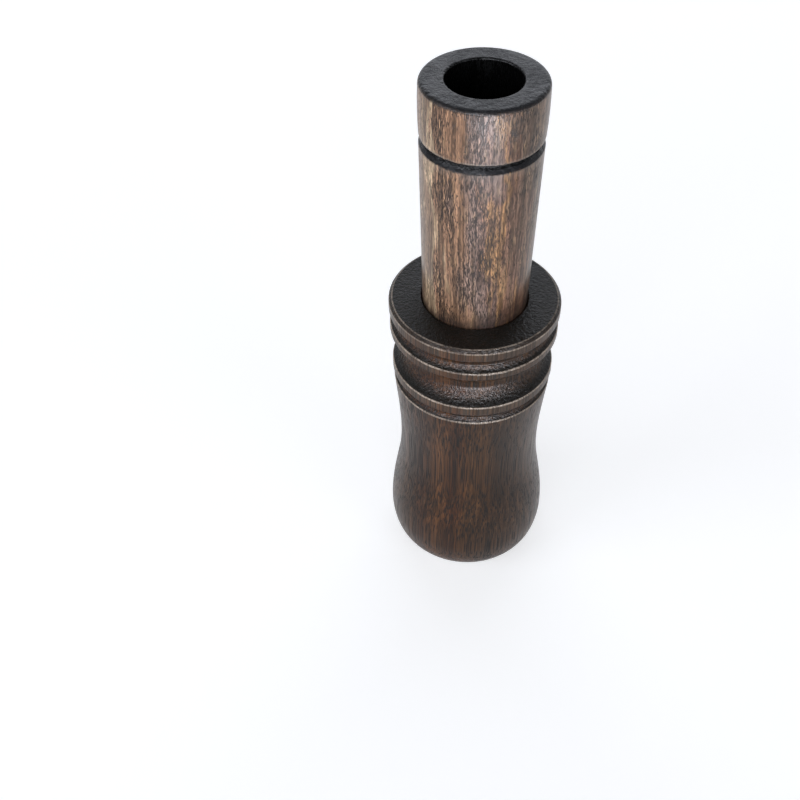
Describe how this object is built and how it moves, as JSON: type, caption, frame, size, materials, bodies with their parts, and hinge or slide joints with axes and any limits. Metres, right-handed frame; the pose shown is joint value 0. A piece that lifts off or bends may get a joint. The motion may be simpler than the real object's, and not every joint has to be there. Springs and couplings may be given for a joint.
{
  "type": "duck call",
  "caption": "Turned wooden duck call: ringed barrel with a dished mouthpiece, and a grooved insert that pulls out with its tone board, reeds and cork wedge.",
  "frame": {"origin": "centre of the mouthpiece rim, on the surface that the call stands on", "axes": "+Z along the call's axis towards the exhaust end, -Y the side that the reeds face"},
  "size_m": [0.036, 0.036, 0.1205],
  "materials": {
    "barrel_wood": "dark walnut, turned and satin lacquered",
    "insert_wood": "walnut, turned and satin lacquered, with a burnt groove",
    "tone_board_plastic": "black moulded plastic",
    "reed_film": "milky polyester film",
    "wedge_cork": "natural cork",
    "seal_rubber": "black nitrile rubber"
  },
  "bodies": {
    "barrel": {"barrel": "barrel_wood"},
    "seal_rings": {"lower_seal_ring": "seal_rubber", "upper_seal_ring": "seal_rubber"},
    "insert": {"insert": "insert_wood", "tone_board": "tone_board_plastic", "reed_wedge": "wedge_cork"},
    "reeds": {"long_reed": "reed_film", "short_reed": "reed_film"}
  },
  "joints": [
    {"name": "insert_pull", "type": "slide", "parent": "barrel", "child": "seal_rings", "axis": [0, 0, 1], "range_m": [0, 0.065]},
    {"name": "insert_turn", "type": "hinge", "parent": "seal_rings", "child": "insert", "pos_m": [0, 0, 0.071], "axis": [0, 0, 1], "continuous": true},
    {"name": "reed_flex", "type": "hinge", "parent": "insert", "child": "reeds", "pos_m": [0, -0.001, 0.0435], "axis": [1, 0, 0], "range_deg": [-1.5, 2.3], "stiffness_Nm_per_rad": 0.022, "deforming": ["long_reed", "short_reed"]}
  ]
}
